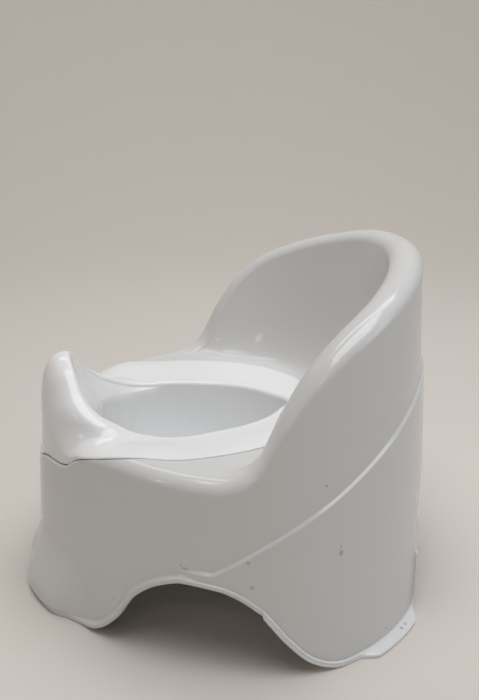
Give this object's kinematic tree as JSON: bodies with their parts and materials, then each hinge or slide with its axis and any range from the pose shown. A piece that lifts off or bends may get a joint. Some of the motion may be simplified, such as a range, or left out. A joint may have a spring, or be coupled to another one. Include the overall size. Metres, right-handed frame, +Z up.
{
  "type": "potty training chair",
  "caption": "Moulded potty training chair with arms, curved backrest and arched feet, holding a lift-out potty with a raised splash guard.",
  "frame": {"origin": "centre of the bounding box, on the floor", "axes": "+X to the seated child's left, -Y to the front where the splash guard is, +Z up"},
  "size_m": [0.3558, 0.3616, 0.299],
  "materials": {
    "shell_white": "glossy moulded white",
    "potty_white": "glossy moulded white, slightly cooler",
    "foot_rubber": "soft white elastomer"
  },
  "bodies": {
    "chair": {"chair_shell": "shell_white", "foot_strip_front_left": "foot_rubber", "foot_strip_front_right": "foot_rubber", "foot_strip_rear_left": "foot_rubber", "foot_strip_rear_right": "foot_rubber"},
    "potty": {"inner_potty": "potty_white"}
  },
  "joints": [
    {"name": "potty_lift", "type": "slide", "parent": "chair", "child": "potty", "axis": [0, 0, 1], "range_m": [0, 0.3]}
  ]
}
